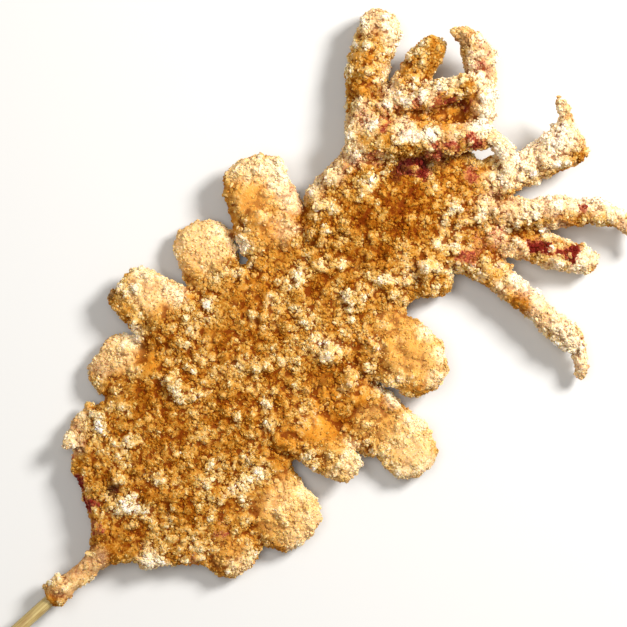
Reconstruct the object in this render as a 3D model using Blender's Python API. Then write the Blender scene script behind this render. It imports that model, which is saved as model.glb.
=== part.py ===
"""A whole squid, slit into tabs down both sides, crusted and deep-fried flat on a bamboo skewer.

The squid lies on its plain face with its crusted front up. +X runs along the skewer from the handle to
the arms, +Y is across the mantle and +Z is up. Sizes below are millimetres, and the scene is metres.
The layout is measured from where the skewer enters the tail. In the end everything is moved so that
the origin is at the middle of the bounding box's base.
"""

import math
import random

import bmesh
import bpy
from mathutils import Vector

MM = 0.001

# The skewer, and the hole that it lies in.
SKEWER_DIAMETER = 5.0
SKEWER_LENGTH = 300.0
SKEWER_INSIDE = 165.0
SKEWER_POINT = 14.0
SKEWER_POINT_RADIUS = 0.3
SKEWER_CHAMFER = 0.4
SKEWER_HEIGHT = 8.0
SKEWER_GAP = 0.3
SKEWER_SIDES = 24

# How a limb is drawn: rings along a smooth path, each a squarish oval, with rounded ends.
RING_SIDES = 20
RINGS_PER_SPAN = 5
END_RINGS = 5
END_REACH = 0.9
END_POWER = 2.6
OVAL_POWER = 2.3

# How the limbs are fused, crusted and thinned to fewer faces.
FUSE_VOXEL = 1.1
SWELL_SIZE = 16.0
SWELL_HEIGHT = 1.6
CRAG_SIZE = 5.5
CRAG_HEIGHT = 1.7
KEPT_SHARE = 0.083

# Crumbs of batter that are scattered over the skin.
SEED = 7
CRUMBS_PER_CM2 = 0.42
CRUMB_RADIUS = (1.5, 2.9)
CRUMB_STRETCH = 1.2
CRUMB_FLATNESS = 0.8
LUMPINESS = 0.14

TABLE_SIZE = (700, 500, 20)

# Every limb is a list of stations: x, y, height of the middle, half width and half thickness.
MANTLE = {
    "mantle": [
        (1, 0.5, 8, 5, 4.8),
        (6, 0.6, 8, 10, 5.4),
        (12, 1, 7.8, 18.5, 5.8),
        (18, 1.7, 7.8, 27, 6.2),
        (24, 2.8, 7.8, 34, 6.6),
        (38, 5.2, 8, 38.6, 7),
        (58, 8, 8, 39, 7.2),
        (84, 14, 8, 36, 7.4),
        (110, 16, 8, 33, 7.4),
        (138, 17, 8, 28, 7.4),
        (160, 19, 8.5, 26.5, 7.6),
    ],
    "skewer_sleeve": [
        (-24, -0.4, 8, 4, 4),
        (-20, 0.6, 8, 5.2, 5),
        (-15, -0.3, 8, 4, 4.2),
        (-8, -0.6, 8, 4.2, 4.2),
        (-2, 0, 8, 4.4, 4.4),
        (6, 0, 8, 6.5, 5),
    ],
}
TABS = {
    "left_corner_tab": [
        (40, 18, 7, 11, 5.4),
        (31, 38.5, 6.5, 10, 5),
    ],
    "left_tab_1": [
        (64, 26, 6.5, 14.5, 5.2),
        (57, 49.4, 5.5, 13.6, 4.8),
    ],
    "left_tab_2": [
        (88, 28, 8, 14, 5.6),
        (85, 49, 8.5, 14.4, 5.4),
        (81.5, 65.5, 9, 12, 5),
    ],
    "left_tab_3": [
        (108, 30, 7, 11.5, 5.6),
        (108, 49, 6.5, 11, 5.4),
        (114, 63.4, 6, 12, 5),
    ],
    "left_tab_4": [
        (136, 32, 8, 13, 6),
        (137, 48, 8.5, 13.4, 5.8),
        (142.2, 58.5, 9.5, 14.4, 5.6),
        (145.5, 67.5, 10.5, 13.4, 5.2),
    ],
    "right_corner_tab": [
        (38, -6, 7, 13, 5.4),
        (41, -33.5, 6, 11.5, 5),
    ],
    "right_tab_1": [
        (64, -8, 7, 19, 6),
        (66, -38, 6, 14.2, 5.2),
    ],
    "right_tab_2": [
        (92, -2, 10, 12, 5),
        (94.5, -22, 10.5, 10.5, 4.6),
        (97, -38, 10, 7, 4),
    ],
    "right_tab_3": [
        (116, 0, 7, 13, 6),
        (115, -20, 6.4, 11.8, 5.6),
        (117, -31, 6, 13.4, 5.4),
        (120.5, -44, 5.8, 11.5, 5.2),
        (119.6, -52.2, 5.6, 11.2, 5),
    ],
    "right_tab_4": [
        (141, 6, 8, 16, 6),
        (141.4, -13.5, 8.5, 14.4, 5.8),
        (146.4, -23.5, 9, 12.8, 5.5),
        (145.5, -29.5, 9.5, 11.6, 5.2),
    ],
}
HEAD = {
    "head": [
        (152, 22.5, 9, 22.5, 7.8),
        (172, 25.5, 9.8, 28.5, 8.8),
        (188, 26.5, 9.5, 26, 8.6),
        (198, 28.5, 9, 22.3, 7.6),
    ],
    "head_left_edge": [
        (165, 44.5, 9, 9.5, 7.2),
        (176, 45.5, 10, 9, 7.8),
        (192, 48, 11, 9, 7.8),
    ],
    "head_right_skirt": [
        (180, 4, 9, 12, 7.4),
        (173, -6, 8, 8.5, 6.4),
    ],
    "arm_web": [
        (196, 48, 10, 10, 6.4),
        (213, 41, 9.5, 10, 5.6),
        (225, 33, 10, 8.5, 5.8),
    ],
    "folded_arm": [
        (189, 53, 15, 7, 6.6),
        (200, 44, 18, 7.5, 6.6),
        (212, 32.5, 19, 6.6, 6),
        (224.5, 23.5, 18, 5.4, 5.4),
    ],
    "upper_lip": [
        (198, 59, 12, 4.6, 5),
        (211, 54, 15, 4.4, 5),
        (222, 47.2, 18, 4.6, 5.2),
        (233, 42.6, 19, 4.6, 5.6),
        (236, 36, 18, 4.4, 5.8),
        (232, 29.5, 16, 4.4, 5.8),
    ],
}
ARMS = {
    "arm_1": [
        (192, 52, 10, 9, 8.4),
        (199.6, 60.6, 9.5, 8.2, 8.2),
        (207, 70, 9, 8.1, 7.8),
        (215.3, 76.4, 9.2, 8.2, 7.4),
        (224.4, 81.8, 10, 7.6, 6.8),
    ],
    "arm_2": [
        (206, 47, 10, 8, 6.8),
        (214, 54, 11, 7.8, 6.8),
        (223, 58.5, 12.5, 6.9, 6.4),
        (230, 60.3, 14, 6.1, 6),
        (234.5, 61.5, 15.5, 5.1, 5.2),
    ],
    "arm_3": [
        (226, 27, 12, 7, 6.6),
        (236, 35, 13, 6.2, 6.4),
        (242.2, 41.4, 14.5, 6, 6.2),
        (246.4, 48, 17, 6, 5.6),
        (247.5, 54, 19.5, 4.2, 4.4),
        (246.2, 58.5, 21, 3, 3.2),
    ],
    "hooked_arm": [
        (224, 25, 18, 4.5, 4.4),
        (228.5, 19, 18, 3.6, 3.6),
        (228.6, 12, 17, 3.3, 3.4),
        (225, 6, 15.6, 3.3, 3.4),
        (219, 1, 13.6, 3.6, 3.6),
    ],
    "arm_4": [
        (198, 13, 9, 9, 7.2),
        (211, 9.4, 9, 9, 7.2),
        (218, 6.8, 9, 8.4, 7.2),
        (226, 2.4, 9.5, 6.8, 7.2),
        (236, 0, 10.5, 7.2, 7),
        (246, -2.4, 11.5, 8.4, 6.8),
        (249, -3, 12, 8.4, 6.4),
    ],
    "arm_4_tip": [
        (251, 0, 13, 4, 4),
        (255.4, 5, 15, 2.8, 2.8),
        (257.4, 9, 17.5, 2, 2),
        (258, 12, 20, 1.8, 1.8),
    ],
    "arm_5": [
        (196, 9, 10, 8, 6.8),
        (208, -2, 9.6, 5.8, 6.4),
        (217, -11, 9.4, 6.2, 6),
        (225.5, -18.4, 9.6, 5.9, 5.8),
        (233, -24.4, 10.2, 5.5, 5.4),
        (239, -29.7, 10.8, 4.9, 5),
        (243.2, -36, 10.8, 3.8, 4),
        (245.2, -43, 10, 2.9, 3),
        (244.5, -49.5, 8.5, 2.2, 2.2),
    ],
    "arm_6": [
        (190, 2, 8.4, 7, 6.4),
        (201, -12.8, 7.6, 5.2, 5.8),
        (208, -20.2, 7.2, 5.6, 5.6),
        (213.5, -25.2, 7.2, 6.4, 5.6),
        (217, -32, 7.4, 6.3, 5.6),
        (221.5, -39, 7.8, 5.6, 5.2),
        (224.8, -43.6, 8, 4.2, 4.2),
    ],
    "arm_7": [
        (186, 2, 8.4, 8, 6.8),
        (190.6, -14, 8.4, 6.6, 6.6),
        (193.6, -25, 8.4, 5.5, 5.8),
        (195, -35, 9, 5, 5.4),
        (196.5, -43, 9.8, 5, 5.2),
        (196.9, -50, 10.2, 4.6, 4.8),
        (197.8, -57, 10, 5.4, 5.2),
        (198, -63, 9.4, 4.6, 4.4),
        (197, -68, 8.4, 3.1, 3.2),
        (194, -73, 7.4, 2.5, 2.6),
        (192, -75, 7, 2.2, 2.2),
    ],
}
LIMBS = {**MANTLE, **TABS, **HEAD, **ARMS}

# Nuggets of batter that stand out by themselves: x, y, height, half length, half width, turn in degrees.
NUGGETS = [
    (146, 9, 15.2, 4.8, 3.6, 50),
    (123, -1, 14.6, 5.6, 3.6, -65),
    (69, 28, 14, 6.4, 4.4, -85),
    (14, -14.5, 8.5, 4.6, 4.6, 0),
    (174, -2, 15.5, 4.4, 3.6, 20),
    (89, 0, 14.4, 3.4, 2.8, 30),
    (26, 18, 13.6, 5.2, 3.8, 15),
    (121, -14, 12.4, 4.6, 3.2, 60),
    (23, 42, 10, 4.2, 3.4, 0),
    (139, 57, 13, 4.4, 3.2, -40),
]
NUGGET_FLATNESS = 0.7

CRUST_COLOUR = (0.72, 0.43, 0.13, 1.0)
BAMBOO_COLOUR = (0.62, 0.50, 0.24, 1.0)


def clear_scene():
    for old in list(bpy.data.objects):
        bpy.data.objects.remove(old)


def material(name, colour, roughness):
    made = bpy.data.materials.new(name)
    made.use_nodes = True
    shader = made.node_tree.nodes["Principled BSDF"]
    shader.inputs["Base Color"].default_value = colour
    shader.inputs["Roughness"].default_value = roughness
    shader.inputs["Metallic"].default_value = 0.0
    return made


def new_object(name, mesh):
    """Turns a bmesh into an object of the scene."""
    bmesh.ops.recalc_face_normals(mesh, faces=mesh.faces)
    made = bpy.data.meshes.new(name)
    mesh.to_mesh(made)
    mesh.free()
    obj = bpy.data.objects.new(name, made)
    bpy.context.scene.collection.objects.link(obj)
    return obj


def skin_rings(mesh, loops):
    """Closes a row of rings into one tube with capped ends."""
    for first, second in zip(loops, loops[1:]):
        for side in range(len(first)):
            after = (side + 1) % len(first)
            mesh.faces.new((first[side], first[after], second[after], second[side]))
    mesh.faces.new(loops[0][::-1])
    mesh.faces.new(loops[-1])


def smooth_path(stations):
    """The stations and the points between them on a Catmull-Rom curve, which smooths all five values."""
    rows = [Vector(station) for station in stations]
    rows = [rows[0] * 2 - rows[1], *rows, rows[-1] * 2 - rows[-2]]
    path = []
    for before, start, end, after in zip(rows, rows[1:], rows[2:], rows[3:]):
        for step in range(RINGS_PER_SPAN):
            t = step / RINGS_PER_SPAN
            bend = (2 * before - 5 * start + 4 * end - after) * t ** 2
            ease = (3 * start - before - 3 * end + after) * t ** 3
            path.append(0.5 * (2 * start + (end - before) * t + bend + ease))
    path.append(rows[-2])
    return path


def oval_height(across):
    """How high the squarish oval is at a share of its half width."""
    return (1 - abs(across) ** OVAL_POWER) ** (1 / OVAL_POWER)


def oval_points():
    """The points of the squarish oval, as shares of its half width and half thickness."""
    points = []
    for side in range(RING_SIDES):
        angle = math.tau * side / RING_SIDES
        across, up = math.cos(angle), math.sin(angle)
        reach = (abs(across) ** OVAL_POWER + abs(up) ** OVAL_POWER) ** (-1 / OVAL_POWER)
        points.append((across * reach, up * reach))
    return points


def rounded_end(ring, direction):
    """The rings that close one end of a limb in a blunt dome."""
    centre, heading, half_width, half_thickness = ring
    rings = []
    for step in range(1, END_RINGS + 1):
        along = math.sin(math.pi / 2 * step / (END_RINGS + 0.5))
        share = (1 - along ** END_POWER) ** (1 / END_POWER)
        place = centre + heading * direction * along * half_width * END_REACH
        rings.append((place, heading, half_width * share, half_thickness * share))
    return rings


def add_limb(mesh, stations):
    """Adds one closed limb, lofted along its stations."""
    path = smooth_path(stations)
    rings = []
    for i, row in enumerate(path):
        ahead, behind = path[min(i + 1, len(path) - 1)], path[max(i - 1, 0)]
        heading = Vector((ahead - behind)[:3]).normalized()
        rings.append((Vector(row[:3]), heading, row[3], row[4]))
    rings = rounded_end(rings[0], -1)[::-1] + rings + rounded_end(rings[-1], 1)
    points = oval_points()
    loops = []
    for centre, heading, half_width, half_thickness in rings:
        across = Vector((0, 0, 1)).cross(heading).normalized()
        up = heading.cross(across)
        places = [centre + across * half_width * a + up * half_thickness * b for a, b in points]
        loops.append([mesh.verts.new(place * MM) for place in places])
    skin_rings(mesh, loops)


def add_lump(mesh, place, radii, turn, dice):
    """Adds one uneven lump of batter with the given half sizes, turned about the vertical."""
    cosine, sine = math.cos(turn), math.sin(turn)
    for vert in bmesh.ops.create_icosphere(mesh, subdivisions=2, radius=1.0)["verts"]:
        swell = 1 + dice.uniform(-LUMPINESS, LUMPINESS)
        along, across, up = (value * radius * swell for value, radius in zip(vert.co, radii))
        offset = Vector((along * cosine - across * sine, along * sine + across * cosine, up))
        vert.co = (Vector(place) + offset) * MM


def add_crumbs(mesh, stations, dice):
    """Sinks small crumbs into both faces of a limb, evenly by area."""
    path = smooth_path(stations)
    for start, end in zip(path, path[1:]):
        span = Vector((end - start)[:3])
        across = Vector((0, 0, 1)).cross(span.normalized())
        both_faces = span.length * 4 * start[3] / 100
        expected = both_faces * CRUMBS_PER_CM2
        count = int(expected) + (dice.random() < expected % 1)
        for _ in range(count):
            row = start.lerp(end, dice.random())
            side = dice.uniform(-0.95, 0.95)
            height = dice.choice((-1, 1)) * row[4] * oval_height(side)
            place = Vector(row[:3]) + across * side * row[3] + Vector((0, 0, height))
            radius = dice.uniform(*CRUMB_RADIUS)
            radii = (radius * CRUMB_STRETCH, radius, radius * CRUMB_FLATNESS)
            add_lump(mesh, place, radii, dice.uniform(0, math.pi), dice)


def add_relief(obj, name, basis, size, height):
    """Raises and sinks the skin by a cloudy pattern of the given size."""
    texture = bpy.data.textures.new(name, "CLOUDS")
    texture.noise_basis = basis
    texture.noise_scale = size * MM
    texture.noise_depth = 1
    relief = obj.modifiers.new(name, "DISPLACE")
    relief.texture = texture
    relief.texture_coords = "LOCAL"
    relief.strength = height * MM
    relief.mid_level = 0.5


def add_cut(obj, cutter):
    """Cuts the cutter out of the object, and leaves the cutter itself out of the model."""
    cutter.hide_render = True
    cutter.display_type = "WIRE"
    cut = obj.modifiers.new(cutter.name, "BOOLEAN")
    cut.operation = "DIFFERENCE"
    cut.solver = "EXACT"
    cut.object = cutter


def turned_rod(name, profile):
    """A rod along the skewer's axis, turned from pairs of distance and radius."""
    start = SKEWER_INSIDE - SKEWER_LENGTH
    mesh = bmesh.new()
    loops = []
    for distance, radius in profile:
        loop = []
        for side in range(SKEWER_SIDES):
            angle = math.tau * side / SKEWER_SIDES
            y = radius * math.cos(angle)
            z = SKEWER_HEIGHT + radius * math.sin(angle)
            loop.append(mesh.verts.new(Vector((start + distance, y, z)) * MM))
        loops.append(loop)
    skin_rings(mesh, loops)
    return new_object(name, mesh)


def skewer():
    """A round bamboo stick, chamfered at the handle's end and sharpened at the end inside the squid."""
    radius = SKEWER_DIAMETER / 2
    obj = turned_rod("skewer", [
        (0, radius - SKEWER_CHAMFER),
        (SKEWER_CHAMFER, radius),
        (SKEWER_LENGTH - SKEWER_POINT, radius),
        (SKEWER_LENGTH, SKEWER_POINT_RADIUS),
    ])
    obj.data.materials.append(material("bamboo", BAMBOO_COLOUR, 0.6))
    obj.data.shade_smooth()
    obj.data.set_sharp_from_angle(angle=math.radians(35))
    return obj


def skewer_hole():
    """The cutter for the hole: the skewer's outline with a small gap all round, open at the tail."""
    radius = SKEWER_DIAMETER / 2 + SKEWER_GAP
    return turned_rod("skewer_hole", [
        (0, radius),
        (SKEWER_LENGTH - SKEWER_POINT + SKEWER_GAP, radius),
        (SKEWER_LENGTH + 2 * SKEWER_GAP, SKEWER_POINT_RADIUS + SKEWER_GAP),
    ])


def table_block():
    """The cutter that flattens the lowest crags, so that the squid rests on them at height 0."""
    mesh = bmesh.new()
    bmesh.ops.create_cube(mesh, size=1.0)
    for vert in mesh.verts:
        vert.co.z -= 0.5
        vert.co = Vector([value * size * MM for value, size in zip(vert.co, TABLE_SIZE)])
    return new_object("table_block", mesh)


def squid():
    """The crusted squid: limbs, nuggets and crumbs fused into one skin, roughened, thinned and cut."""
    dice = random.Random(SEED)
    mesh = bmesh.new()
    for stations in LIMBS.values():
        add_limb(mesh, stations)
        add_crumbs(mesh, stations, dice)
    for x, y, z, half_length, half_width, turn in NUGGETS:
        radii = (half_length, half_width, half_width * NUGGET_FLATNESS)
        add_lump(mesh, (x, y, z), radii, math.radians(turn), dice)
    obj = new_object("fried_squid", mesh)
    obj.data.materials.append(material("fried_crust", CRUST_COLOUR, 0.8))

    fuse = obj.modifiers.new("fuse", "REMESH")
    fuse.mode = "VOXEL"
    fuse.voxel_size = FUSE_VOXEL * MM
    fuse.use_smooth_shade = True
    add_relief(obj, "swell", "BLENDER_ORIGINAL", SWELL_SIZE, SWELL_HEIGHT)
    add_relief(obj, "crags", "VORONOI_F1", CRAG_SIZE, -CRAG_HEIGHT)
    thin = obj.modifiers.new("fewer_faces", "DECIMATE")
    thin.ratio = KEPT_SHARE
    add_cut(obj, table_block())
    add_cut(obj, skewer_hole())
    return obj


def centre_on_base(objects):
    """Moves everything so that the origin is at the middle of the bounding box's base."""
    bpy.context.view_layer.update()
    graph = bpy.context.evaluated_depsgraph_get()
    corners = []
    for obj in objects:
        corners += [Vector(corner) for corner in obj.evaluated_get(graph).bound_box]
    low = [min(corner[axis] for corner in corners) for axis in range(3)]
    high = [max(corner[axis] for corner in corners) for axis in range(3)]
    frame = bpy.data.objects.new("layout_frame", None)
    frame.location = (-(low[0] + high[0]) / 2, -(low[1] + high[1]) / 2, -low[2])
    bpy.context.scene.collection.objects.link(frame)
    for obj in bpy.context.scene.objects:
        if obj != frame:
            obj.parent = frame


clear_scene()
centre_on_base([squid(), skewer()])
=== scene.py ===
"""Looks of the fried squid: granular crust, loose crumbs, bamboo stick, pale floor, soft light and camera.

Layout lengths are millimetres, measured from where the skewer enters the tail: x runs along the stick
towards the arms, y runs across the mantle, and z is the height. They are turned into the frame's metres
by to_frame() and frame_point().
"""

import math

import bmesh
import bpy
import numpy as np
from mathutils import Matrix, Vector, noise
from mathutils.bvhtree import BVHTree


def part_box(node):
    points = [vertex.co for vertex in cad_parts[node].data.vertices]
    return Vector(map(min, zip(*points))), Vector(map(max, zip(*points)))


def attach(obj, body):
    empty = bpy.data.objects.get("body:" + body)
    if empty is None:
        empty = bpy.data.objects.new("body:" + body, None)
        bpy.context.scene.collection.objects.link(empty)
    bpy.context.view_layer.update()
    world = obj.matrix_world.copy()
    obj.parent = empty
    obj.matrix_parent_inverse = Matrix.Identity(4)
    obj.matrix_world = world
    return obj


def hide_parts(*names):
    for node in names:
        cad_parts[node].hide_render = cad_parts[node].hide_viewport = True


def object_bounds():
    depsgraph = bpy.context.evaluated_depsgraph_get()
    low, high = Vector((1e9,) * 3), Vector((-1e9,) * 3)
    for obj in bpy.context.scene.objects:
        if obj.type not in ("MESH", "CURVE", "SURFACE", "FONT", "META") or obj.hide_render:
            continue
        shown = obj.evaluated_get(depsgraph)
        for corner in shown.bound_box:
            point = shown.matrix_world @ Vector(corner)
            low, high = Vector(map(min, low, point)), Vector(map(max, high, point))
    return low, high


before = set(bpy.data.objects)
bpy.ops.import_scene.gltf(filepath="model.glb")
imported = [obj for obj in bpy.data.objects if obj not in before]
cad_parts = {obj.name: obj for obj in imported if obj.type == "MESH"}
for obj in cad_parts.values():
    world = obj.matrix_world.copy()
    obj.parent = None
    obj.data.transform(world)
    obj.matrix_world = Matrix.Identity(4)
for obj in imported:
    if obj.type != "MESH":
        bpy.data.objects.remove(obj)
cad_low, cad_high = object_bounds()

MM = 0.001

# The layout's zero is where the skewer enters the tail: so much of it lies outside the squid, and inside.
SKEWER_OUTSIDE = 135.0
SKEWER_INSIDE = 165.0
skewer_low, skewer_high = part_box("skewer")
SKEWER_HEIGHT = (skewer_low.z + skewer_high.z) / 2 / MM
ZERO = np.array([skewer_low.x + SKEWER_OUTSIDE * MM, (skewer_low.y + skewer_high.y) / 2, 0.0])

# The skewer's hole ends just past its tip. Relief and crumbs stay this far from the skewer's middle line.
HOLE_END = SKEWER_INSIDE + 2.0
RELIEF_CLEARANCE = 4.0
CRUMB_CLEARANCE = 4.6

# The crust may stand this much over the CAD squid's highest point.
TOP_ROOM = 0.4
TOP = cad_high.z / MM + TOP_ROOM

# The crust's own mesh. Its relief is round nodules and finer grains, and bare crust lies a little lower.
CRUST_VOXEL = 0.72
CRUST_TRIANGLES = 192000
NODULE_SIZE, NODULE_HEIGHT = 3.6, 1.35
GRAIN_SIZE, GRAIN_HEIGHT = 1.7, 0.7
BARE_DEPTH = 0.5

# A nodule reaches this share of its size from its centre. Its height has a common part and one of its own.
NODULE_REACH = 0.64
COMMON_HEIGHT, OWN_HEIGHT = 0.6, 0.4
OWN_HEIGHT_SCALE = 7.3

# Random balls are stretched, flattened and swollen at their corners, by factors within these limits.
BALL_STRETCH = (0.75, 1.4)
BALL_FLATNESS = (0.6, 1.0)
BALL_SWELL = (0.6, 1.3)

# Lumps of batter fused with the form. Most are small, and they are smaller and fewer outside the clumps.
LUMPS = 900
LUMP_RADIUS = (1.0, 2.5)
LUMP_POWER = 2.2
LUMP_RISE = 0.05
LUMP_DETAIL = 2
SIZE_OUTSIDE_CLUMPS = 0.35
CLUMP_EDGE = 0.25
LONE_LUMPS = 0.3

# Each listed knob is a few balls: how far from its middle, how large and how high, as shares of radii.
KNOB_BALLS = 6
KNOB_REACH = 0.75
KNOB_BALL_RADIUS = (0.3, 0.55)
KNOB_RISE = 0.15
ABOVE_ALL = 100.0

# Scattering: places tried for each one wanted, and the share of them used outside clumps and underneath.
TRIES = 4
USED_OUTSIDE_CLUMPS = 0.5
USED_UNDERNEATH = 0.25
FACING_DOWN = -0.3

# Clumps of crumbs: their size, how ragged their edges are, and where they begin and are full.
CLUMP_SIZE = 8.5
CLUMP_RAGGED_SIZE, CLUMP_RAGGEDNESS = 3.4, 0.5
CLUMP_RANGE = (-0.12, 0.42)

# Cragginess comes in patches, is more on the arms, and is never less than a little.
PATCH_SIZE = 17.0
PATCH_MEAN, PATCH_SWING = 0.8, 0.6
ARMS_RANGE = (190.0, 210.0)
ARMS_CRAGGIER = 0.35
LEAST_CRAGGY = 0.12

# A zone is full within the first share of its radius and gone past the second. Its edge is ragged.
ZONE_RANGE = (0.45, 1.35)
RAGGED_SIZE, RAGGED_REACH = 5.0, 3.0

# What makes the crust lighter, on the colour ramp from 0 to 1. The noise has a size, a shift and a strength.
TONE_BASE = 0.28
TONE_CLUMPS = 0.14
TONE_NOISE = ((12.0, 3.3, 0.18), (4.5, 6.3, 0.14))
TONE_NODULES = 0.34
TONE_PALE = 0.30
TONE_KNOBS = 0.2
TONE_BROWN = 0.28
# Painted shade and light: crust standing out from the CAD form is lighter, and crust below it darker.
TONE_RISE = 0.10
RISE_RANGE = (-1.0, 1.6)

# A crevice lies lower than what is so many steps around it, and the depth is measured in this unit.
HOLLOWS = ((2, 0.16), (14, 0.7))
# Deeper crevices get more painted shade, from this base and growing by this gain.
CREVICE_BASE, CREVICE_GAIN = 0.25, 0.4

# Kinds of crumbs: how many, smallest and largest radius, how far they stand out, and how fine they are.
CRUMB_KINDS = {
    "grit": {"count": 22000, "radius": (0.32, 0.58), "rise": 0.25, "detail": 0},
    "grains": {"count": 9400, "radius": (0.5, 0.85), "rise": 0.1, "detail": 1},
    "crumbs": {"count": 5200, "radius": (0.7, 1.2), "rise": 0.0, "detail": 1},
}
CRUMB_POWER = 1.6
CRUMB_PALER = 0.05
CRUMB_TONES = (-0.1, 0.14)
# Painted shade on each crumb, darker towards its sunk lower part.
CRUMB_SHADE, CRUMB_SHADE_GAIN = 0.5, 0.7
SEED = 11

# The photograph's view: how wide a strip it shows, its middle in the layout, and how far the stick is turned.
VIEW_WIDTH = 250.8
VIEW_MIDDLE = (128.7, 14.7)
VIEW_TURN = 42.0
CAMERA_HEIGHT = 1.6
SENSOR_WIDTH = 36.0

# Square soft lights. The direction goes by the photograph's right and up, and by height.
LIGHTS = {
    "key": {"direction": (0.75, 0.5, 0.8), "distance": 1.2, "size": 0.35, "power": 23.0},
    "overhead": {"direction": (-0.2, 0.1, 1.0), "distance": 1.5, "size": 0.9, "power": 11.0},
}
LIGHT_COLOUR = (1.0, 0.98, 0.96)
WORLD_COLOUR = (1.0, 0.94, 0.87, 1.0)
WORLD_STRENGTH = 0.28

# The floor, in metres: half its width, and how far it lies under the squid's flat base.
FLOOR_HALF = 3.0
FLOOR_DROP = 0.0002

# Zones of colour: x, y, radius and strength of each. Pale is cream crust on tab edges, arms and knobs;
# the bright tab edges that face the key light are partly painted light.
PALE = [
    (22, 42, 6, 0.5), (30, 46, 6, 0.3), (60, 57, 9, 0.4), (67, 56, 5, 1.0), (52, 58, 6, 0.4),
    (88, 66, 9, 0.5), (92, 58, 6, 0.7), (90, 72, 5, 0.8), (115, 66, 11, 0.5), (122, 64, 6, 0.8),
    (124, 56, 4, 0.7), (108, 70, 5, 0.4), (154, 66, 8, 1.0), (152, 56, 6, 0.8), (148, 74, 7, 0.6),
    (143, 48, 6, 0.5), (145, 79, 5, 0.4), (163, 53, 6, 0.6), (172, 52, 6, 0.5), (183, 56, 6, 0.5),
    (190, 60, 5, 0.4), (40, -41, 6, 0.4), (79, -36, 5, 0.7), (74, -46, 7, 0.5), (64, -50, 7, 0.5),
    (70, -34, 8, 0.3), (100, -42, 6, 0.6), (103, -36, 4, 0.5), (93, -38, 4, 0.3), (129, -32, 4, 0.8),
    (130, -45, 5, 0.8), (122, -52, 9, 0.5), (112, -58, 6, 0.6), (122, -60, 6, 0.7), (157, -20, 4, 0.8),
    (155, -31, 4, 0.7), (148, -38, 5, 0.5), (224, 86, 7, 0.5), (229, 80, 5, 0.9), (226, 74, 5, 0.5),
    (217, 66, 4, 0.5), (212, 60, 4, 0.4), (205, 44, 5, 0.8), (210, 36, 5, 0.6), (218, 30, 4, 0.6),
    (226, 26, 5, 0.8), (234, 28, 6, 0.9), (240, 36, 5, 0.8), (240, 45, 4, 0.6), (232, 48, 4, 0.7),
    (222, 50, 4, 0.5), (214, 55, 4, 0.4), (196, 56, 4, 0.6), (249, 40, 6, 0.6), (252, 50, 4, 0.7),
    (243, 40, 5, 0.6), (229, 14, 5, 0.9), (230, 22, 4, 0.8), (222, 5, 5, 0.5), (210, 0, 6, 0.4),
    (216, 8, 4, 0.3), (235, 3, 8, 0.8), (245, 0, 8, 0.9), (252, 0, 6, 0.9), (255, 8, 4, 0.7),
    (222, -10, 6, 0.6), (232, -17, 7, 0.7), (241, -26, 6, 0.9), (246, -36, 5, 0.9), (205, -12, 5, 0.4),
    (227, -42, 5, 0.8), (222, -25, 4, 0.6), (212, -36, 4, 0.5), (199, -30, 5, 0.9), (200, -42, 5, 0.9),
    (199, -55, 6, 0.9), (196, -68, 6, 0.8), (194, -48, 5, 0.5), (193, -75, 5, 0.6), (244, -44, 5, 0.5),
    (247, 56, 5, 0.3), (256, 8, 5, 0.5), (-15, 0, 9, 0.3), (-4, 0, 7, 0.3), (48, 60, 6, 0.4),
    (228, -13, 7, 0.8), (215, -8, 5, 0.5), (238, -22, 6, 0.9), (226, -31, 4, 0.8), (221, -41, 5, 0.7),
    (207, -22, 4, 0.5), (200, -36, 5, 0.9), (201, -50, 5, 0.9), (198, -63, 5, 0.9), (240, 3, 9, 0.9),
    (228, 4, 7, 0.8), (198, 62, 4, 0.5), (208, 57, 4, 0.6), (192, -28, 4, 0.3), (192, -50, 4, 0.5),
    (203, -20, 4, 0.4), (184, 50, 5, 0.4), (85, 64, 6, 0.5), (247, 47, 4, 0.6), (14, -15, 6, 0.4),
    (100, 66, 5, 0.4),
]
# Amber is thin, smooth, bright orange crust.
AMBER = [
    (67, 46, 6, 0.9), (73, 68, 5, 0.4), (85, 60, 7, 0.3), (107, 62, 7, 0.4), (98, 53, 4, 0.4),
    (142, 65, 8, 0.8), (139, 72, 5, 0.6), (137, 54, 8, 0.8), (129, 62, 4, 0.4), (149, 49, 5, 0.5),
    (100, -20, 9, 0.9), (90, -17, 6, 0.6), (112, -12, 8, 0.6), (122, -18, 7, 0.5), (121, -38, 5, 0.4),
    (145, -18, 10, 0.6), (150, -10, 6, 0.4), (140, -30, 7, 0.4), (135, -8, 7, 0.4), (78, -22, 6, 0.4),
    (65, -30, 8, 0.3), (42, -33, 5, 0.5), (50, -35, 4, 0.4), (212, 76, 6, 0.4), (203, 68, 4, 0.3),
    (221, 60, 5, 0.4), (213, 62, 4, 0.3), (234, 62, 4, 0.2), (247, 57, 4, 0.3), (222, 38, 8, 0.8),
    (230, 35, 5, 0.7), (212, 44, 5, 0.8), (215, 12, 5, 0.4), (204, 18, 5, 0.3), (190, -22, 5, 0.5),
    (193, -35, 4, 0.4), (208, -22, 5, 0.4), (120, 38, 8, 0.5), (130, 40, 8, 0.4), (170, 5, 8, 0.3),
    (208, 5, 4, 0.4),
]
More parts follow.
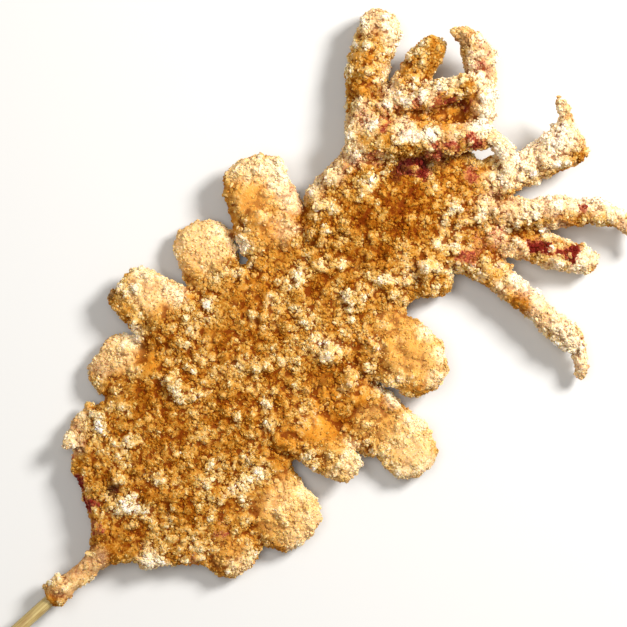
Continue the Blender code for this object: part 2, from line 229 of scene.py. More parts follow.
# Brown is darker crust, on the head, at the roots of the tabs and in patches of the mantle.
BROWN = [
    (175, 25, 12, 0.8), (190, 22, 10, 0.8), (160, 32, 10, 0.5), (165, 15, 10, 0.5), (192, 32, 8, 0.7),
    (115, -10, 6, 0.6), (120, -7, 5, 0.5), (47, 4, 6, 0.6), (76, 12, 6, 0.5), (60, 18, 14, 0.35),
    (100, 20, 14, 0.25), (55, 33, 8, 0.3), (135, 20, 8, 0.3), (35, -12, 7, 0.4), (104, -25, 6, 0.3),
    (110, -25, 5, 0.4), (79, -15, 4, 0.5), (72, 72, 4, 0.7), (140, 20, 10, 0.3), (150, 40, 8, 0.3),
    (155, 48, 5, 0.5), (237, 60, 4, 0.4), (246, 56, 4, 0.5), (200, 68, 5, 0.4), (243, -42, 4, 0.5),
    (212, -18, 3, 0.5), (215, -5, 4, 0.4), (184, 10, 6, 0.4),
]
# Skin is pink to dark red squid skin that shows through. The strong spots from (196, 34) to (207, 30) are
# dark skin and partly painted shadow under the folded arm.
SKIN = [
    (6, 10, 4, 0.6), (10, 19, 3.5, 0.9), (13, 27, 3.5, 0.9), (17, 37, 3, 0.6), (154, 57, 3, 0.5),
    (180, 48, 5, 0.4), (188, 43, 5, 0.5), (200, 52, 4, 0.6), (205, 55, 5, 0.6), (196, 58, 4, 0.4),
    (215, 50, 4, 0.6), (229, 36, 3, 0.8), (226, 41, 3, 0.7), (221, 44, 3, 0.6), (214, 27, 4, 0.7),
    (207, 30, 4, 0.7), (196, 34, 4, 1.0), (199, 29, 4, 1.0), (206, 42, 4, 0.3), (212, 13, 3, 0.6),
    (216, 3, 3, 0.6), (222, 20, 3, 0.7), (190, -9, 5, 0.6), (197, -8, 4, 0.4), (205, -10, 4, 0.5),
    (211, -24, 3, 1.2), (213, -26, 3, 1.2), (215, -28, 3, 1.2), (217, -31, 3, 1.2), (219, -34, 3, 1.2),
    (221, -37, 3, 1.2), (236, -26, 3, 0.7), (152, 60, 3, 0.4), (222, 22, 4, 0.8),
    (244, 42, 4, 0.5), (249, 48, 3, 0.4), (42, -26, 4, 0.5), (48, -22, 3, 0.3), (26, -27, 3, 0.4),
    (197, -37, 3, 0.4), (205, 0, 14, 0.25), (200, -15, 8, 0.3), (205, 52, 10, 0.3), (-15, 0, 12, 0.1),
    (226, -16, 18, 0.22), (242, 0, 12, 0.2), (214, 64, 14, 0.22), (198, -45, 14, 0.22), (246, 48, 10, 0.25),
]
# Burnt is small, nearly black spots. Those from (190, 34) to (207, 25) are partly painted shadow under
# the folded arm.
BURNT_AND_SHADOW = [
    (23, 15, 2.4, 1.0), (75, 76, 3, 0.8), (196, 34, 3, 0.8), (202, 28, 3, 0.8), (207, 25, 3, 0.7),
    (190, 34, 2.5, 0.6), (208, 63, 3, 0.5), (244, 54, 3, 0.4), (113, -9, 2.5, 0.5),
]
# Thin is the bright golden crust of the tabs, with few gaps between its grains and fainter painted shade in
# them.
THIN = [
    (70, -38, 14, 1.0), (98, -36, 8, 0.6), (122, -48, 13, 1.0), (118, -34, 8, 0.6), (147, -24, 13, 0.9),
    (150, -12, 8, 0.6), (62, 54, 9, 0.7), (86, 64, 11, 0.6), (113, 65, 13, 0.9), (146, 66, 13, 0.8),
    (140, 54, 10, 0.6), (40, -36, 8, 0.4),
]
ZONES = {"pale": PALE, "amber": AMBER, "brown": BROWN, "skin": SKIN, "burnt_and_shadow": BURNT_AND_SHADOW, "thin": THIN}

# The zones where the crust is smoother, and how much of its cragginess each takes away.
BARE_ZONES = ((AMBER, 0.8), (SKIN, 0.25), (THIN, 0.1))

# Knobs of batter, pale ones in the photograph and smaller ones along the arms: x, y and radius of each.
KNOBS = [
    (69, 31, 4.0), (70, 25, 3.6), (68, 28, 4.2), (123, 1, 3.8), (125, -3, 3.2), (121, -1, 3.4),
    (146, 9, 4.2), (174, -2, 3.8), (177, -4, 2.8), (14, -14, 3.6), (17, -17, 2.6), (23, 42, 3.4),
    (47, 38, 3.0), (41, 26, 3.0), (43, 24, 2.4), (25, 9, 3.6), (24, 5, 2.8), (27, 18, 2.8),
    (52, -8, 2.4), (75, 21, 2.6), (88, 41, 2.8), (110, 30, 2.6), (120, 30, 3.4), (143, 27, 3.4),
    (135, 31, 3.2), (150, 22, 2.6), (165, 57, 3.2), (180, 39, 4.0), (176, 36, 3.4), (186, 58, 3.0),
    (190, 6, 2.8), (200, 9, 3.4), (194, 8, 3.0), (204, -2, 2.8), (200, 43, 3.4), (205, 40, 3.2),
    (211, 36, 3.0), (139, 57, 3.2), (118, 45, 3.0), (60, 45, 2.8), (35, 38, 2.4), (90, 0, 2.8),
    (100, 46, 2.6), (57, -16, 2.4), (122, -14, 3.6), (131, -17, 2.6), (163, 40, 3.2), (155, 36, 2.8),
    (35, -6, 2.2), (83, 30, 2.2), (63, 8, 2.2), (78, 3, 2.0), (107, 8, 2.4), (98, 12, 2.0),
    (160, 6, 2.8), (184, 2, 2.6), (188, -4, 2.6), (212, 52, 2.6), (218, 49, 2.4), (226, 48, 2.6),
    (234, 45, 2.8), (240, 30, 3.0), (229, 26, 2.8), (205, 78, 2.2), (212, 83, 2.0), (222, 87, 2.2),
    (229, 84, 2.6), (228, 76, 2.4), (200, 66, 2.2), (217, 79, 2.2), (236, 8, 2.4), (244, 6, 2.4),
    (250, -6, 2.6), (240, -6, 2.4), (230, 7, 2.6), (252, 3, 2.4), (246, 0, 2.4), (226, -8, 2.4),
    (234, -14, 2.4), (240, -22, 2.4), (245, -30, 2.2), (247, -38, 2.0), (231, -18, 2.0),
    (224, -28, 2.0), (228, -38, 2.0), (215, -37, 2.0), (222, -45, 2.0), (210, -30, 2.0),
    (219, -22, 2.0), (198, -28, 2.2), (202, -38, 2.4), (203, -50, 2.4), (204, -57, 2.2),
    (200, -66, 2.0), (192, -46, 2.0), (191, -32, 2.2), (193, -60, 1.8), (194, -74, 1.8),
    (197, -44, 2.2), (188, -20, 2.2), (197, -20, 2.2), (250, 41, 2.4), (252, 50, 2.2), (250, 58, 2.0),
    (240, 40, 2.4), (236, 33, 2.6), (245, 50, 2.0), (226, 66, 2.2), (234, 64, 2.0), (220, 55, 2.4),
    (196, 54, 2.4), (204, 58, 2.4), (210, 66, 2.2),
]

# Colours. Stops are a place on a ramp and the colour there.
CRUST_STOPS = [
    (0.0, (0.16, 0.026, 0.0006)),
    (0.2, (0.33, 0.105, 0.004)),
    (0.4, (0.51, 0.235, 0.034)),
    (0.6, (0.69, 0.425, 0.140)),
    (0.8, (0.83, 0.64, 0.37)),
    (1.0, (0.93, 0.82, 0.68)),
]
SKIN_STOPS = [
    (0.2, (0.68, 0.31, 0.17)),
    (0.5, (0.38, 0.078, 0.038)),
    (0.85, (0.14, 0.010, 0.006)),
]
# Pale: cream crust, and painted light on the tab edges that face the key light.
PALE_COLOUR = (0.97, 0.77, 0.53, 1.0)
AMBER_COLOUR = (0.70, 0.27, 0.024, 1.0)
THIN_COLOUR = (0.95, 0.60, 0.21, 1.0)
# Painted shade in crevices and on the lower parts of crumbs.
CREVICE_SHADE_COLOUR = (0.16, 0.026, 0.0005, 1.0)
# Painted shade in pinholes.
PINHOLE_SHADE_COLOUR = (0.06, 0.008, 0.0005, 1.0)
# Burnt spots, partly painted shadow under the folded arm.
BURNT_AND_SHADOW_COLOUR = (0.045, 0.006, 0.005, 1.0)
BAMBOO_STOPS = [
    (0.2, (0.16, 0.085, 0.02)),
    (0.42, (0.36, 0.25, 0.08)),
    (0.6, (0.52, 0.41, 0.16)),
    (0.85, (0.66, 0.55, 0.27)),
]
STAIN_COLOUR = (0.24, 0.12, 0.028, 1.0)
FLOOR_COLOUR = (0.60, 0.60, 0.59, 1.0)

# Settings that are the same all over the crust's and the floor's surface.
CRUST_SHADER = {
    "Specular IOR Level": 0.03,
    "Subsurface Weight": 0.25,
    "Subsurface Radius": (1.0, 0.42, 0.10),
    "Subsurface Scale": 0.0025,
}
FLOOR_SHADER = {"Base Color": FLOOR_COLOUR, "Roughness": 0.85}

# A material's noise lies mostly within these limits. Bamboo's is drawn out along the stick, which is X.
NOISE_RANGE = (0.3, 0.7)
MILLIMETRES = (1000.0, 1000.0, 1000.0)
FIBRE_SCALE = (25.0, 3200.0, 3200.0)
STAIN_SCALE = (90.0, 500.0, 500.0)


def to_layout(points):
    """Frame metres to layout millimetres."""
    return (points - ZERO) / MM


def to_frame(points):
    """Layout millimetres to frame metres."""
    return points * MM + ZERO


def frame_point(x, y, z=0.0):
    """The point in the frame, in metres, of one place in the layout."""
    return Vector(ZERO) + Vector((x, y, z)) * MM


def clip_height(layout):
    """Keeps layout points over the floor and under the top."""
    layout[:, 2] = np.clip(layout[:, 2], 0.0, TOP)


def mesh_arrays(mesh):
    """The mesh's points and normals, and its triangles."""
    points = np.empty(len(mesh.vertices) * 3)
    mesh.vertices.foreach_get("co", points)
    normals = np.empty(len(mesh.vertices) * 3)
    mesh.vertex_normals.foreach_get("vector", normals)
    mesh.calc_loop_triangles()
    triangles = np.empty(len(mesh.loop_triangles) * 3, dtype=np.int32)
    mesh.loop_triangles.foreach_get("vertices", triangles)
    return points.reshape(-1, 3), normals.reshape(-1, 3), triangles.reshape(-1, 3)


def new_mesh(name, points, triangles):
    mesh = bpy.data.meshes.new(name)
    mesh.vertices.add(len(points))
    mesh.vertices.foreach_set("co", points.ravel())
    mesh.loops.add(triangles.size)
    mesh.loops.foreach_set("vertex_index", triangles.ravel().astype(np.int32))
    mesh.polygons.add(len(triangles))
    mesh.polygons.foreach_set("loop_start", np.arange(0, triangles.size, 3, dtype=np.int32))
    mesh.update(calc_edges=True)
    mesh.validate()
    mesh.shade_smooth()
    return mesh


def new_object(name, mesh):
    obj = bpy.data.objects.new(name, mesh)
    bpy.context.scene.collection.objects.link(obj)
    return obj


def changed_mesh(mesh, kind, **settings):
    """The mesh after one modifier."""
    holder = new_object("holder", mesh)
    modifier = holder.modifiers.new("change", kind)
    for key, value in settings.items():
        setattr(modifier, key, value)
    graph = bpy.context.evaluated_depsgraph_get()
    changed = bpy.data.meshes.new_from_object(holder.evaluated_get(graph))
    bpy.data.objects.remove(holder)
    return changed


def dress(obj, material):
    """Gives the whole object one material."""
    obj.data.materials.clear()
    obj.data.materials.append(material)


def store(mesh, name, values):
    """Keeps a value for each of the mesh's points, for the material to read."""
    layer = mesh.attributes.new(name, "FLOAT", "POINT")
    layer.data.foreach_set("value", values.astype(np.float32))


def smooth_step(low, high, values):
    share = np.clip((values - low) / (high - low), 0.0, 1.0)
    return share * share * (3.0 - 2.0 * share)


def sample_noise(points, size, shift):
    """Soft noise between about -1 and 1 at each layout point. The shift sets one noise apart from another."""
    scaled = points / size + shift
    return np.array([noise.noise(Vector(p)) for p in scaled])


def sample_nodules(points, size, shift=0.0):
    """Height of round nodules at each layout point, from 0 to 1. Each nodule has a height of its own."""
    heights = np.empty(len(points))
    for index, point in enumerate(points / size + shift):
        distances, centres = noise.voronoi(Vector(point))
        dome = max(1.0 - (distances[0] / NODULE_REACH) ** 2, 0.0)
        heights[index] = dome * (COMMON_HEIGHT + OWN_HEIGHT * noise.cell(centres[0] * OWN_HEIGHT_SCALE))
    return heights


def zone_strength(points, zones):
    """How strongly each layout point lies in the zones, seen from above."""
    full, gone = ZONE_RANGE
    strength = np.zeros(len(points))
    for x, y, radius, most in zones:
        distance = np.hypot(points[:, 0] - x, points[:, 1] - y)
        strength = np.maximum(strength, most * (1.0 - smooth_step(full * radius, gone * radius, distance)))
    return strength


def ragged(points):
    """Layout points pushed about a little, so that the zones get uneven edges."""
    moved = points.copy()
    moved[:, 0] += RAGGED_REACH * sample_noise(points, RAGGED_SIZE, shift=31.7)
    moved[:, 1] += RAGGED_REACH * sample_noise(points, RAGGED_SIZE, shift=57.3)
    return moved


def in_hole(points, clearance):
    """True for layout points in or beside the skewer's hole."""
    away = np.hypot(points[:, 1], points[:, 2] - SKEWER_HEIGHT)
    return (away < clearance) & (points[:, 0] < HOLE_END)


def clump_share(points):
    """Where pale clumps of crumbs stand on the crust (1), and where the crust is bare and browner (0)."""
    clumps = sample_noise(points, CLUMP_SIZE, shift=2.7)
    edges = CLUMP_RAGGEDNESS * sample_noise(points, CLUMP_RAGGED_SIZE, shift=8.1)
    return smooth_step(*CLUMP_RANGE, clumps + edges)


def craggy_share(points):
    """Where the crust is craggy (1) and where it is thin and smooth (0). The arms are craggy all over."""
    patches = PATCH_MEAN + PATCH_SWING * sample_noise(points, PATCH_SIZE, shift=5.1)
    patches += ARMS_CRAGGIER * smooth_step(*ARMS_RANGE, points[:, 0])
    bare = sum(share * zone_strength(points, zones) for zones, share in BARE_ZONES)
    return np.clip(patches * (1.0 - np.minimum(bare, 1.0)), LEAST_CRAGGY, 1.0)


def between_nodules(nodules):
    """How much of the skin shows: all of it between nodules, and hardly any on top of them."""
    return np.clip(1.3 - 1.6 * nodules, 0.15, 1.0)


def colour_fields(layout):
    """Lightness and the zones' strengths at layout points, seen from above."""
    edges = ragged(layout)
    fields = {name: zone_strength(edges, zones) for name, zones in ZONES.items()}
    knobs = zone_strength(layout, [(x, y, radius, 1.0) for x, y, radius in KNOBS])
    nodules = sample_nodules(layout, NODULE_SIZE)
    tone = TONE_BASE + TONE_CLUMPS * clump_share(layout)
    tone += sum(strength * sample_noise(layout, size, shift) for size, shift, strength in TONE_NOISE)
    tone += TONE_NODULES * nodules * craggy_share(layout)
    tone += TONE_PALE * fields["pale"] + TONE_KNOBS * knobs - TONE_BROWN * fields["brown"]
    fields["tone"] = tone
    fields["skin"] *= between_nodules(nodules)
    return fields


def unit_ball(detail):
    """Points and triangles of a ball with a radius of 1: 8 faces for detail 0, 20 for 1 and 80 for 2."""
    ball = bmesh.new()
    if detail:
        bmesh.ops.create_icosphere(ball, subdivisions=detail, radius=1.0)
    else:
        bmesh.ops.create_cone(ball, cap_ends=False, segments=4, radius1=1.0, radius2=0.0, depth=1.0)
        ring = [vert for vert in ball.verts if vert.co.z < 0.0]
        bmesh.ops.translate(ball, verts=ball.verts, vec=(0.0, 0.0, 0.5))
        low = ball.verts.new((0.0, 0.0, -1.0))
        ring.sort(key=lambda vert: math.atan2(vert.co.y, vert.co.x))
        for first, second in zip(ring, ring[1:] + ring[:1]):
            ball.faces.new((second, first, low))
    ball.verts.index_update()
    points = np.array([vert.co[:] for vert in ball.verts])
    triangles = np.array([[vert.index for vert in face.verts] for face in ball.faces])
    ball.free()
    return points, triangles


def scattered_places(surface, wanted, dice):
    """Random layout places on a surface, the normals there and the nearest corner's number.

    There are more of them where the crust is craggy.
    """
    points, normals, triangles = surface
    a, b, c = (points[triangles[:, i]] for i in range(3))
    areas = np.linalg.norm(np.cross(b - a, c - a), axis=1)
    tried = TRIES * wanted
    chosen = dice.choice(len(triangles), size=tried, p=areas / areas.sum())
    first, second = dice.random((2, tried))
    fold = first + second > 1.0
    first, second = np.where(fold, 1.0 - first, first), np.where(fold, 1.0 - second, second)
    places = a[chosen] + first[:, None] * (b - a)[chosen] + second[:, None] * (c - a)[chosen]
    nearest = triangles[chosen, 0]
    facing = normals[nearest]
    layout = to_layout(places)
    in_clumps = USED_OUTSIDE_CLUMPS + (1.0 - USED_OUTSIDE_CLUMPS) * clump_share(layout)
    likely = craggy_share(layout) * in_clumps
    likely *= np.where(facing[:, 2] > FACING_DOWN, 1.0, USED_UNDERNEATH)
    used = (dice.random(tried) < likely) & ~in_hole(layout, CRUMB_CLEARANCE)
    kept = np.flatnonzero(used)[:wanted]
    return layout[kept], facing[kept], nearest[kept]


def uneven_balls(places, facing, radii, rise, detail, dice):
    """Uneven balls at layout places. Gives their points, triangles, and each point's share of height."""
    unit, triangles = unit_ball(detail)
    count, corners = len(places), len(unit)
    sideways = np.cross(facing, dice.normal(size=facing.shape))
    sideways /= np.linalg.norm(sideways, axis=1)[:, None]
    along = np.cross(facing, sideways)
    stretch = dice.uniform(*BALL_STRETCH, (count, 1))
    flat = dice.uniform(*BALL_FLATNESS, (count, 1))
    swell = dice.uniform(*BALL_SWELL, (count, corners))
    local = unit[None, :, :] * swell[:, :, None] * radii[:, None, None]
    spread = (
        local[:, :, 0:1] * (sideways * stretch)[:, None, :]
        + local[:, :, 1:2] * (along / stretch)[:, None, :]
        + local[:, :, 2:3] * (facing * flat)[:, None, :]
    )
    centres = places + facing * (radii * rise)[:, None]
    layout = (centres[:, None, :] + spread).reshape(-1, 3)
    clip_height(layout)
    faces = (triangles[None, :, :] + corners * np.arange(count)[:, None, None]).reshape(-1, 3)
    return layout, faces, np.tile(unit[:, 2], count)


def cad_surface():
    """The CAD squid's points, normals and triangles, with the points of neighbouring faces joined."""
    joined = bmesh.new()
    joined.from_mesh(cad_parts["fried_squid"].data)
    bmesh.ops.remove_doubles(joined, verts=joined.verts, dist=0.00001)
    mesh = bpy.data.meshes.new("cad_surface")
    joined.to_mesh(mesh)
    joined.free()
    return mesh_arrays(mesh)


def knob_places(tree, dice):
    """Where the small balls of each listed knob sit on the CAD squid, the normals there, and their radii."""
    places, facing, radii = [], [], []
    for x, y, radius in KNOBS:
        for _ in range(KNOB_BALLS):
            angle = dice.uniform(0.0, math.tau)
            reach = KNOB_REACH * radius * math.sqrt(dice.random())
            above = frame_point(x + reach * math.cos(angle), y + reach * math.sin(angle), ABOVE_ALL)
            place, normal, _, _ = tree.ray_cast(above, Vector((0.0, 0.0, -1.0)))
            if place is not None:
                places.append(to_layout(np.array(place)))
                facing.append(np.array(normal))
                radii.append(radius * dice.uniform(*KNOB_BALL_RADIUS))
    return np.array(places), np.array(facing), np.array(radii)


def lumpy_source(dice):
    """The CAD squid's form with lumps and knobs of batter stuck on it, as one loose mesh.

    It comes with the search tree of the CAD form alone.
    """
    surface = cad_surface()
    points, _, triangles = surface
    tree = BVHTree.FromPolygons(points.tolist(), triangles.tolist())
    places, facing, _ = scattered_places(surface, LUMPS, dice)
    clumps = clump_share(places)
    smallest, largest = LUMP_RADIUS
    in_clumps = SIZE_OUTSIDE_CLUMPS + (1.0 - SIZE_OUTSIDE_CLUMPS) * clumps
    radii = smallest + (largest - smallest) * dice.random(len(places)) ** LUMP_POWER * in_clumps
    room = TOP - places[:, 2] > BALL_SWELL[1] * radii
    chosen = room & ((clumps > CLUMP_EDGE) | (dice.random(len(places)) < LONE_LUMPS))
    lumps, lump_faces, _ = uneven_balls(
        places[chosen], facing[chosen], radii[chosen], LUMP_RISE, LUMP_DETAIL, dice)
    knobs, knob_faces, _ = uneven_balls(*knob_places(tree, dice), KNOB_RISE, LUMP_DETAIL, dice)
    all_points = np.vstack([points, to_frame(lumps), to_frame(knobs)])
    all_faces = np.vstack([triangles, lump_faces + len(points), knob_faces + len(points) + len(lumps)])
    return new_mesh("lumpy_source", all_points, all_faces), tree


def relief_height(layout):
    """How far nodules and grains stand out from the fused form at layout points."""
    relief = NODULE_HEIGHT * sample_nodules(layout, NODULE_SIZE) - BARE_DEPTH
    relief += GRAIN_HEIGHT * sample_nodules(layout, GRAIN_SIZE, shift=9.3)
    return np.where(in_hole(layout, RELIEF_CLEARANCE), 0.0, relief * craggy_share(layout))


def crust_form(source):
    """The loose source fused into one fine mesh, with its relief, and then brought down to its triangles."""
    fine = changed_mesh(source, "REMESH", mode="VOXEL", voxel_size=CRUST_VOXEL * MM)
    points, normals, triangles = mesh_arrays(fine)
    layout = to_layout(points)
    layout = layout + normals * relief_height(layout)[:, None]
    clip_height(layout)
    fine.vertices.foreach_set("co", to_frame(layout).ravel())
    fine.update()
    return changed_mesh(fine, "DECIMATE", ratio=CRUST_TRIANGLES / len(triangles))


def joined_neighbours(values, edges, passes):
    """Each point's value averaged with its neighbours', several times."""
    count = len(values)
    ends = np.concatenate([edges[:, 0], edges[:, 1]])
    others = np.concatenate([edges[:, 1], edges[:, 0]])
    degree = np.bincount(ends, minlength=count).clip(1)
    for _ in range(passes):
        values = np.stack([
            np.bincount(ends, weights=values[others, axis], minlength=count) / degree for axis in range(3)
        ], axis=1)
    return values


def crevice_depth(mesh, layout, normals):
    """How deep each point lies between those around it, from 0 to 1."""
    edges = np.empty(len(mesh.edges) * 2, dtype=np.int32)
    mesh.edges.foreach_get("vertices", edges)
    edges = edges.reshape(-1, 2)
    hollow = sum(
        ((joined_neighbours(layout, edges, steps) - layout) * normals).sum(axis=1) / depth
        for steps, depth in HOLLOWS
    )
    return np.clip(CREVICE_BASE + CREVICE_GAIN * hollow, 0.0, 1.0)


def height_over(tree, points):
    """How far each of the frame's points stands out from the CAD squid, in millimetres."""
    heights = np.empty(len(points))
    for index, point in enumerate(points):
        place, facing, _, _ = tree.find_nearest(Vector(point))
        heights[index] = (Vector(point) - place).dot(facing) / MM
    return heights


def crust_mesh(dice):
    """The crust's mesh, with its colour fields stored on it, and the same fields as arrays."""
    source, tree = lumpy_source(dice)
    mesh = crust_form(source)
    mesh.shade_smooth()
    points, normals, _ = mesh_arrays(mesh)
    layout = to_layout(points)
    fields = colour_fields(layout)
    # Painted shade and light: crust standing out from the CAD form is lighter, and crust below it darker.
    fields["tone"] += TONE_RISE * np.clip(height_over(tree, points), *RISE_RANGE)
    for name, values in fields.items():
        store(mesh, name, values)
    # Painted shade: deeper crevices are darker.
    store(mesh, "crevice_shade", crevice_depth(mesh, layout, normals))
    return mesh, fields


def crumb_mesh(name, surface, fields, kind, dice):
    """One kind of crumb, all in one mesh: uneven grains half sunk in the crust, in its colours there, with
    painted shade on their lower parts.
    """
    places, facing, nearest = scattered_places(surface, kind["count"], dice)
    smallest, largest = kind["radius"]
    radii = smallest + (largest - smallest) * dice.random(len(places)) ** CRUMB_POWER
    layout, faces, lifted = uneven_balls(places, facing, radii, kind["rise"], kind["detail"], dice)
    mesh = new_mesh(name, to_frame(layout), faces)
    mesh.shade_flat()
    corners = len(layout) // len(places)
    paler = CRUMB_PALER + dice.uniform(*CRUMB_TONES, len(places))
    for field, values in fields.items():
        own = values[nearest] + (paler if field == "tone" else 0.0)
        store(mesh, field, np.repeat(own, corners))
    # Painted shade: each crumb darker towards its lower part.
    store(mesh, "crevice_shade", np.clip(CRUMB_SHADE - CRUMB_SHADE_GAIN * lifted, 0.0, 1.0))
    return mesh


class Nodes:
    """Short calls for building a material's nodes."""

    # The Mix node's sockets for colours.
    MIX_SHARE, MIX_FIRST, MIX_SECOND, MIX_RESULT = 0, 6, 7, 2

    def __init__(self, name):
        self.material = bpy.data.materials.new(name)
        self.material.use_nodes = True
        self.tree = self.material.node_tree
        self.shader = self.tree.nodes["Principled BSDF"]

    def add(self, kind, inputs=(), **settings):
        node = self.tree.nodes.new(kind)
        for key, value in settings.items():
            setattr(node, key, value)
        for key, value in dict(inputs).items():
            self.put(node.inputs[key], value)
        return node

    def put(self, socket, value):
        """Links a socket's value, or sets a plain one."""
        if isinstance(value, bpy.types.NodeSocket):
            self.tree.links.new(value, socket)
        else:
            socket.default_value = value

    def surface(self, settings):
        """Puts values into the shader's own sockets."""
        for key, value in settings.items():
            self.put(self.shader.inputs[key], value)

    def attribute(self, name):
        return self.add("ShaderNodeAttribute", attribute_name=name).outputs["Fac"]

    def math(self, operation, first, second, clamp=False):
        node = self.add("ShaderNodeMath", {0: first, 1: second}, operation=operation, use_clamp=clamp)
        return node.outputs[0]

    def mix(self, share, first, second):
        node = self.add("ShaderNodeMix", data_type="RGBA")
        self.put(node.inputs[self.MIX_SHARE], share)
        self.put(node.inputs[self.MIX_FIRST], first)
        self.put(node.inputs[self.MIX_SECOND], second)
        return node.outputs[self.MIX_RESULT]

    def tint(self, colour, other, strength, most):
        """The colour turned towards another one, by a strength times the most that it may be."""
        return self.mix(self.math("MULTIPLY", strength, most), colour, other)

    def spread(self, value, before, after=(0.0, 1.0)):
        """The value moved from one range to another, and kept within it."""
        inputs = {0: value, 1: before[0], 2: before[1], 3: after[0], 4: after[1]}
        return self.add("ShaderNodeMapRange", inputs).outputs[0]

    def ramp(self, share, stops):
        node = self.add("ShaderNodeValToRGB", {"Fac": share})
        band = node.color_ramp
        while len(band.elements) < len(stops):
            band.elements.new(1.0)
        for element, (place, colour) in zip(band.elements, stops):
            element.position = place
            element.color = (*colour, 1.0)
        return node.outputs["Color"]

    def place(self, scale):
        """The surface point in the frame, in metres times the scale."""
        where = self.add("ShaderNodeTexCoord").outputs["Object"]
        return self.add("ShaderNodeMapping", {"Vector": where, "Scale": scale}).outputs["Vector"]

    def noise(self, vector, size, detail):
        inputs = {"Vector": vector, "Scale": 1.0 / size, "Detail": detail, "Roughness": 0.6}
        return self.add("ShaderNodeTexNoise", inputs).outputs["Fac"]

    def cells(self, vector, size):
        inputs = {"Vector": vector, "Scale": 1.0 / size}
        return self.add("ShaderNodeTexVoronoi", inputs).outputs["Distance"]

    def bump(self, height, strength, distance):
        """The shader's normal, made uneven by the height."""
        inputs = {"Height": height, "Strength": strength, "Distance": distance}
        self.put(self.shader.inputs["Normal"], self.add("ShaderNodeBump", inputs).outputs["Normal"])


def crust_material(name):
    """Fried crust: cream clumps, golden grains, painted shade in crevices and pinholes, and the coloured
    zones, the pale one partly painted light.
    """
    n = Nodes(name)
    place = n.place(MILLIMETRES)
    speckle = n.noise(place, size=1.0, detail=4.0)
    fine = n.noise(place, size=0.45, detail=2.0)
    pinholes = n.cells(place, size=2.3)
    pale = n.attribute("pale")
    thin = n.attribute("thin")

    share = n.math("ADD", n.attribute("tone"), n.spread(speckle, NOISE_RANGE, (-0.14, 0.14)))
    share = n.math("ADD", share, n.spread(fine, NOISE_RANGE, (-0.06, 0.06)), clamp=True)
    colour = n.ramp(share, CRUST_STOPS)
    # Pale: cream crust, and painted light on the tab edges that face the key light.
    colour = n.tint(colour, PALE_COLOUR, pale, n.spread(speckle, (0.3, 0.6), (0.3, 0.85)))
    colour = n.tint(colour, THIN_COLOUR, thin, n.spread(speckle, NOISE_RANGE, (0.5, 0.25)))
    colour = n.tint(colour, AMBER_COLOUR, n.attribute("amber"), n.spread(speckle, (0.35, 0.65), (0.8, 0.25)))
    skin = n.math("ADD", n.attribute("skin"), n.spread(speckle, NOISE_RANGE, (-0.32, 0.24)))
    colour = n.mix(n.spread(skin, (0.2, 0.6)), colour, n.ramp(skin, SKIN_STOPS))

    # Painted shade in crevices and pinholes is fainter on pale and thin crust.
    shade_on_pale = n.spread(pale, (0.0, 1.0), (1.0, 0.75))
    shade_on_thin = n.spread(thin, (0.0, 1.0), (1.0, 0.45))
    shade_strength = n.math("MULTIPLY", shade_on_pale, shade_on_thin)
    crevice_shade_share = n.spread(n.attribute("crevice_shade"), (0.25, 0.8), (0.0, 0.9))
    dots = n.math("MULTIPLY", n.spread(pinholes, (0.22, 0.08)), n.spread(speckle, (0.40, 0.5)), clamp=True)
    # Painted shade: crevices and the lower parts of crumbs darkened.
    colour = n.tint(colour, CREVICE_SHADE_COLOUR, crevice_shade_share, shade_strength)
    # Painted shade: pinholes nearly black.
    colour = n.tint(colour, PINHOLE_SHADE_COLOUR, dots, n.math("MULTIPLY", shade_strength, 0.75))
    # Burnt spots, and painted shadow under the folded arm.
    colour = n.tint(colour, BURNT_AND_SHADOW_COLOUR, n.attribute("burnt_and_shadow"), 0.85)

    rough = n.math("ADD", n.math("MULTIPLY", speckle, 0.8), n.math("MULTIPLY", fine, 0.4))
    rough = n.math("ADD", rough, n.math("MULTIPLY", dots, -0.6))
    n.bump(rough, strength=0.7, distance=0.0007)
    n.surface({"Base Color": colour, "Roughness": n.spread(speckle, NOISE_RANGE, (0.4, 0.65))})
    n.surface(CRUST_SHADER)
    return n.material


def bamboo_material():
    """Bamboo: fine fibres along the stick, a greenish straw colour, and brown where oil has darkened it."""
    n = Nodes("bamboo")
    fibres = n.noise(n.place(FIBRE_SCALE), size=1.0, detail=4.0)
    stains = n.noise(n.place(STAIN_SCALE), size=1.0, detail=3.0)
    colour = n.ramp(fibres, BAMBOO_STOPS)
    colour = n.mix(n.spread(stains, (0.48, 0.72), (0.0, 0.7)), colour, STAIN_COLOUR)
    n.bump(fibres, strength=0.5, distance=0.0003)
    n.surface({"Base Color": colour, "Roughness": n.spread(fibres, NOISE_RANGE, (0.62, 0.42))})
    return n.material


def floor_material():
    n = Nodes("floor")
    n.surface(FLOOR_SHADER)
    return n.material


def make_squid():
    dice = np.random.default_rng(SEED)
    mesh, fields = crust_mesh(dice)
    crust = new_object("crust", mesh)
    dress(crust, crust_material("crust"))
    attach(crust, "root")
    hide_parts("fried_squid")
    surface = mesh_arrays(crust.data)
    for name, kind in CRUMB_KINDS.items():
        crumbs = new_object(name, crumb_mesh(name, surface, fields, kind, dice))
        dress(crumbs, crust_material(name))
        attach(crumbs, "root")


def make_skewer():
    dress(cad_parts["skewer"], bamboo_material())


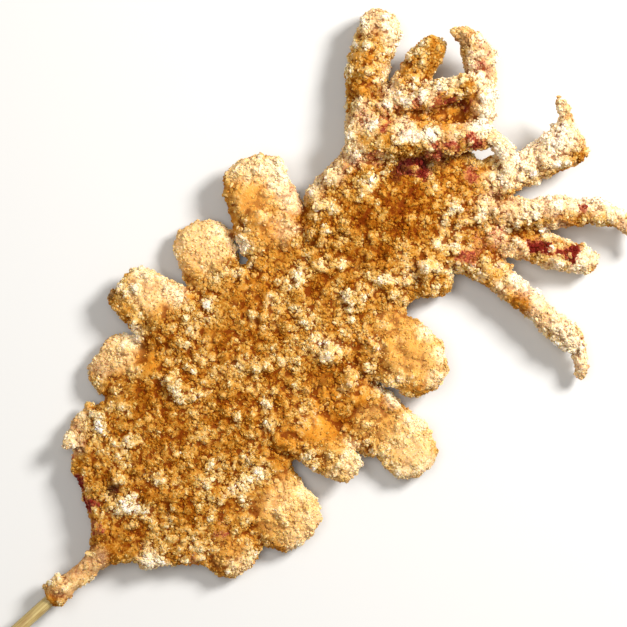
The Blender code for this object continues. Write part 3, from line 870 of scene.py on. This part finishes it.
def make_floor():
    half = FLOOR_HALF
    points = np.array([[-half, -half, 0.0], [half, -half, 0.0], [half, half, 0.0], [-half, half, 0.0]])
    floor = new_object("floor", new_mesh("floor", points, np.array([[0, 1, 2], [0, 2, 3]])))
    floor.location.z = -FLOOR_DROP
    dress(floor, floor_material())


def photo_direction(right, up, height):
    """A direction given by the photograph's right and up, and by height towards the camera."""
    turn = math.radians(-VIEW_TURN)
    x = right * math.cos(turn) - up * math.sin(turn)
    y = right * math.sin(turn) + up * math.cos(turn)
    return Vector((x, y, height))


def add_light(name, direction, distance, size, power):
    """A square soft light that looks at the middle of the view."""
    data = bpy.data.lights.new(name, "AREA")
    data.size = size
    data.energy = power
    data.color = LIGHT_COLOUR
    lamp = bpy.data.objects.new(name, data)
    bpy.context.scene.collection.objects.link(lamp)
    away = photo_direction(*direction)
    lamp.location = frame_point(*VIEW_MIDDLE) + away.normalized() * distance
    lamp.rotation_euler = away.to_track_quat("Z", "Y").to_euler()
    lamp.visible_camera = False


def make_lights():
    for name, light in LIGHTS.items():
        add_light(name, **light)
    world = bpy.data.worlds.new("studio")
    world.use_nodes = True
    background = world.node_tree.nodes["Background"]
    background.inputs["Color"].default_value = WORLD_COLOUR
    background.inputs["Strength"].default_value = WORLD_STRENGTH
    bpy.context.scene.world = world
    bpy.context.scene.view_settings.view_transform = "Standard"


def make_camera():
    """A camera straight above the view's middle, whose width is measured a third of the way up the squid."""
    data = bpy.data.cameras.new("camera")
    measured_height = (cad_low.z + cad_high.z) / 3
    data.sensor_width = SENSOR_WIDTH
    data.lens = data.sensor_width * (CAMERA_HEIGHT - measured_height) / (VIEW_WIDTH * MM)
    camera = bpy.data.objects.new("camera", data)
    bpy.context.scene.collection.objects.link(camera)
    camera.location = frame_point(*VIEW_MIDDLE) + Vector((0.0, 0.0, CAMERA_HEIGHT))
    camera.rotation_euler = (0.0, 0.0, math.radians(-VIEW_TURN))
    bpy.context.scene.camera = camera


make_camera()
make_squid()
make_skewer()
make_floor()
make_lights()
